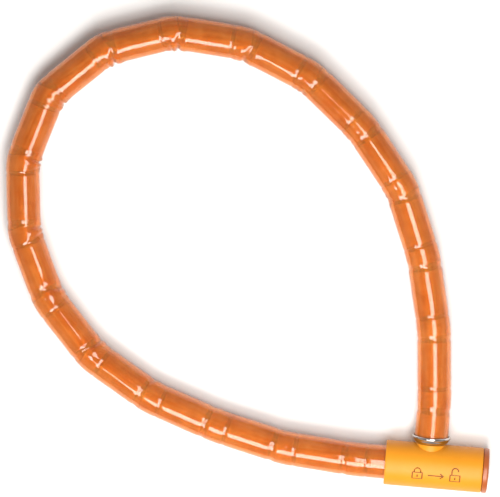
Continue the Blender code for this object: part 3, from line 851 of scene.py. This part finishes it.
def emblem_strokes():
    """A plain shut padlock, an arrow and an open padlock, as outlines in millimetres."""
    strokes = []
    for centre, lift in ((-11.5, 0.0), (11.5, 1.6)):
        box = [(centre - 3, -3.4), (centre + 3, -3.4), (centre + 3, 0.8), (centre - 3, 0.8)]
        strokes.append((box, True))
        hoop = [(centre - 2, 0.8)]
        for step in range(9):
            angle = math.pi * (1 - step / 8)
            hoop.append((centre + 2 * math.cos(angle), 1.6 + lift + 2 * math.sin(angle)))
        if not lift:
            hoop.append((centre + 2, 0.8))
        strokes.append((hoop, False))
        strokes.append(([(centre, -2.2), (centre, -0.6)], False))
    strokes.append(([(-5, -0.6), (4.4, -0.6)], False))
    strokes.append(([(2.4, -2.2), (4.6, -0.6), (2.4, 1.0)], False))
    return strokes


def stroke_cutter(points, closed):
    """A thin round bar that follows the head's surface through an emblem's points."""
    curve = bpy.data.curves.new("stroke", "CURVE")
    curve.dimensions = "3D"
    curve.bevel_depth = STROKE_RADIUS
    curve.bevel_resolution = 2
    curve.use_fill_caps = True
    line = curve.splines.new("POLY")
    places = []
    ends = points + [points[0]] if closed else points
    for (first_x, first_y), (second_x, second_y) in zip(ends, ends[1:]):
        steps = max(1, round(abs(second_y - first_y) / 0.7))
        for step in range(steps):
            share = step / steps
            x = first_x + (second_x - first_x) * share
            y = first_y + (second_y - first_y) * share
            places.append((x, y))
    if not closed:
        places.append(ends[-1])
    line.points.add(len(places) - 1)
    for point, (across, up) in zip(line.points, places):
        along, side = EMBLEM_ALONG + across * EMBLEM_SCALE, EMBLEM_ACROSS + up * EMBLEM_SCALE
        point.co = (*along_surface(along, side), 1.0)
    line.use_cyclic_u = closed
    bar = bpy.data.objects.new("stroke", curve)
    bpy.context.scene.collection.objects.link(bar)
    graph = bpy.context.evaluated_depsgraph_get()
    mesh = bpy.data.meshes.new_from_object(bar.evaluated_get(graph))
    bpy.data.objects.remove(bar, do_unlink=True)
    shape = bmesh.new()
    shape.from_mesh(mesh)
    bmesh.ops.remove_doubles(shape, verts=shape.verts, dist=0.01 * MM)
    bmesh.ops.recalc_face_normals(shape, faces=shape.faces)
    shape.to_mesh(mesh)
    shape.free()
    mesh.materials.clear()
    mesh.materials.append(EMBLEM_DARK)
    tool = bpy.data.objects.new("stroke_cutter", mesh)
    bpy.context.scene.collection.objects.link(tool)
    return tool


def drum(low, high, radius):
    """The profile of a plain cylinder on the axis."""
    return (high, 0), (high, radius), (low, radius), (low, 0)


def add_head_cover():
    """The soft-touch casing, with its lip round the cable, the boss round the pin and the emblem."""
    lip = SLEEVE_RADIUS + CLEARANCE
    room_left = BODY_LEFT - CLEARANCE
    start = (COVER_RIGHT - 5 * MM, HEAD_RADIUS)
    outline = (
        start,
        (HEAD_LEFT, HEAD_RADIUS),
        (HEAD_LEFT, lip),
        (room_left, lip),
        (room_left, COVER_BORE),
        (COVER_RIGHT, COVER_BORE),
        (COVER_RIGHT, HEAD_RADIUS),
        start,
    )
    outline = rounded(outline, COVER_EDGE, 5)[:-1]
    cover = turned("soft_cover", outline, ALONG_HEAD, COVER, sides=COVER_SIDES)

    outline = rounded(drum(9 * MM, BOSS_FACE, BOSS_RADIUS), 0.5 * MM)
    boss = turned("boss", outline, ALONG_PIN, COVER, sides=SMOOTH_SIDES, ring=False)
    cut(cover, [boss], "UNION")

    outline = drum(room_left, COVER_RIGHT + 5 * MM, COVER_BORE)
    room = turned("room", outline, ALONG_HEAD, COVER, sides=COVER_SIDES, ring=False)
    hole = turned("hole", drum(5 * MM, 20 * MM, PIN_BORE), ALONG_PIN, COVER, ring=False)
    strokes = [stroke_cutter(points, closed) for points, closed in emblem_strokes()]
    cut(cover, [room, hole, *strokes])
    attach(cover, "head")
    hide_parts("head_cover")


def add_end_cap():
    """The cap on the key end: rounded outer edges, a shallow step and a chamfered key hole."""
    spigot = COVER_BORE - CLEARANCE
    left = COVER_RIGHT + CLEARANCE
    room_left, room_right, room = 33.3 * MM, 37.7 * MM, 8.8 * MM
    key_hole = 6.3 * MM
    step = HEAD_RIGHT - 0.35 * MM
    start = (HEAD_RIGHT, 15.0 * MM)
    outline = (
        start,
        (HEAD_RIGHT - 0.2 * MM, HEAD_RADIUS - 0.5 * MM),
        (HEAD_RIGHT - 0.9 * MM, HEAD_RADIUS),
        (left, HEAD_RADIUS),
        (left, spigot),
        (room_left, spigot),
        (room_left, room),
        (room_right, room),
        (room_right, key_hole),
        (HEAD_RIGHT - 0.7 * MM, key_hole),
        (HEAD_RIGHT, key_hole + 0.8 * MM),
        (HEAD_RIGHT, 10.2 * MM),
        (step, 10.5 * MM),
        (step, 11.1 * MM),
        (HEAD_RIGHT, 11.4 * MM),
        start,
    )
    outline = rounded(outline, 0.35 * MM, 3)[:-1]
    cap = turned("cap_ring", outline, ALONG_HEAD, CAP, "head", SMOOTH_SIDES)
    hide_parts("end_cap")


def box_tool(low, high):
    """A cutting block between two corners, counted from the head's axis."""
    mesh = bpy.data.meshes.new("block")
    shape = bmesh.new()
    bmesh.ops.create_cube(shape, size=1.0)
    bmesh.ops.scale(shape, vec=Vector(high) - Vector(low), verts=shape.verts)
    bmesh.ops.translate(shape, vec=HEAD + (Vector(low) + Vector(high)) / 2, verts=shape.verts)
    shape.to_mesh(mesh)
    shape.free()
    tool = bpy.data.objects.new("block", mesh)
    bpy.context.scene.collection.objects.link(tool)
    return tool


def add_rotor():
    """The cylinder's turning barrel: its face shows in the key hole, with the key's slot.

    A cage inside holds the discs, and a slit in its wall holds the side bar.
    """
    tail, face, radius = 14.7 * MM, 36.9 * MM, 6.0 * MM
    ring_floor = face - 0.3 * MM
    outline = (
        (face, 0),
        (face, 3.9 * MM),
        (ring_floor, 4.2 * MM),
        (ring_floor, 4.7 * MM),
        (face, 5.0 * MM),
        (face, radius),
        (tail, radius),
        (tail, 0),
    )
    rotor = turned("brass_rotor", rounded(outline, 0.25 * MM, 3), ALONG_HEAD, BRASS, ring=False)
    cage = turned("cage", drum(16.2 * MM, 35 * MM, 5 * MM), ALONG_HEAD, BRASS, ring=False)
    key_slot = box_tool((30 * MM, -1.3 * MM, -3.6 * MM), (40 * MM, 1.3 * MM, 3.6 * MM))
    bar_slit = box_tool((17 * MM, -1 * MM, 3 * MM), (34.4 * MM, 1 * MM, 8 * MM))
    cut(rotor, [cage, key_slot, bar_slit])
    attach(rotor, "key_rotor")
    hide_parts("rotor")


def add_ferrule():
    """The bright cup on the sleeve's end: a rolled lip, a waist and a turned-in foot."""
    bore = SLEEVE_RADIUS + CLEARANCE
    pin_hole = PIN_RADIUS + CLEARANCE
    start = (22.0 * MM, bore)
    outline = (
        start,
        (22.8 * MM, bore + 0.35 * MM),
        (22.8 * MM, 13.7 * MM),
        (22.3 * MM, 14.2 * MM),
        (21.1 * MM, 14.2 * MM),
        (20.4 * MM, 13.7 * MM),
        (19.8 * MM, 13.3 * MM),
        (18.9 * MM, 13.0 * MM),
        (17.9 * MM, 11.9 * MM),
        (17.3 * MM, 11.0 * MM),
        (17.3 * MM, pin_hole),
        (FERRULE_FLOOR, pin_hole),
        (FERRULE_FLOOR, bore),
        start,
    )
    outline = rounded(outline, 0.4 * MM)[:-1]
    ferrule = turned("chrome_ferrule", outline, ALONG_PIN, CHROME, "plug", SMOOTH_SIDES)
    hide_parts("ferrule")


def add_bolt_pin():
    """The pin: a rope socket in its top, the latch's groove round it and a tapered tip."""
    top, tip = 25.5 * MM, -8.0 * MM
    socket_floor, socket = 12 * MM, 3.2 * MM
    groove_top, groove_bottom, groove = 4.0 * MM, 0.2 * MM, 3.6 * MM
    outline = (
        (socket_floor, 0),
        (socket_floor, socket),
        (top, socket),
        (top, PIN_RADIUS),
        (groove_top, PIN_RADIUS),
        (groove_top, groove),
        (groove_bottom, groove),
        (groove_bottom, PIN_RADIUS),
        (tip + 2 * MM, PIN_RADIUS),
        (tip, 4.3 * MM),
        (tip, 0),
    )
    outline = rounded(outline, 0.5 * MM)
    pin = turned("steel_bolt_pin", outline, ALONG_PIN, HARD_STEEL, "plug", ring=False)
    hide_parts("bolt_pin")


def finish_inner_parts():
    """The pieces inside the head keep their CAD shapes and get real metals."""
    metals = {
        HARD_STEEL: ("lock_body", "cable_anchor", "anchor_pin", "cylinder_pin", "drive_crank"),
        BRASS: ("cylinder_housing", *(f"lock_disc_{number}" for number in range(1, 7))),
        CHROME: ("latch_plate", "side_bar"),
    }
    for material, names in metals.items():
        for name in names:
            for slot in frame["nodes"][name].material_slots:
                slot.material = material


# ---------------------------------------------------------------- floor, light and camera


def add_floor():
    """A large sheet of white paper under the lock."""
    half = FLOOR_HALF
    corners = [(-half, -half, 0), (half, -half, 0), (half, half, 0), (-half, half, 0)]
    floor = add_mesh("floor", corners, [(0, 1, 2, 3)], floor_material())
    floor.location.z = FLOOR_HEIGHT


def add_area_light(name, place, target, size, energy):
    """A rectangular soft box at a place, facing a target."""
    light = bpy.data.lights.new(name, "AREA")
    light.shape = "RECTANGLE"
    light.size, light.size_y = size
    light.energy = energy
    light.color = WARM_WHITE
    thing = bpy.data.objects.new(name, light)
    thing.location = place
    facing = Vector(target) - thing.location
    thing.rotation_euler = facing.to_track_quat("-Z", "Y").to_euler()
    bpy.context.scene.collection.objects.link(thing)


def add_lights():
    """A soft box on the near side, a smaller one overhead and a surround that is darkest at its top."""
    add_area_light("key_light", (0.02, -0.56, 0.93), (0, 0, 0), size=(0.7, 0.46), energy=12.0)
    add_area_light("top_light", (0.25, -0.08, 0.88), (0.25, -0.08, 0), size=(0.38, 0.43), energy=5.2)
    world = bpy.data.worlds.new("surround")
    world.use_nodes = True
    tree = world.node_tree
    place = add_node(tree, "ShaderNodeTexCoord")
    split = add_node(tree, "ShaderNodeSeparateXYZ")
    tree.links.new(place.outputs["Generated"], split.inputs["Vector"])
    stops = ((0.0, (0.5, 0.47, 0.45)), (0.3, (0.62, 0.585, 0.56)), (0.95, (0.2, 0.187, 0.178)))
    glow = ramp(tree, split.outputs["Z"], stops)
    tree.links.new(glow, tree.nodes["Background"].inputs["Color"])
    bpy.context.scene.world = world


def add_camera():
    """A long lens almost straight above the far side of the loop."""
    camera = bpy.data.cameras.new("camera")
    camera.lens = 180
    camera.sensor_width = 36
    camera.clip_end = 20
    thing = bpy.data.objects.new("camera", camera)
    right = Vector(CAMERA_RIGHT).normalized()
    forward = Vector(CAMERA_FORWARD)
    forward = (forward - right * forward.dot(right)).normalized()
    upward = right.cross(forward)
    turn = Matrix((right, upward, -forward)).transposed()
    thing.matrix_world = Matrix.Translation(CAMERA_PLACE) @ turn.to_4x4()
    bpy.context.scene.collection.objects.link(thing)
    bpy.context.scene.camera = thing


add_camera()
add_lights()
add_floor()
bpy.context.scene.view_settings.view_transform = "Standard"
add_cable()
add_head_cover()
add_end_cap()
add_rotor()
add_ferrule()
add_bolt_pin()
finish_inner_parts()
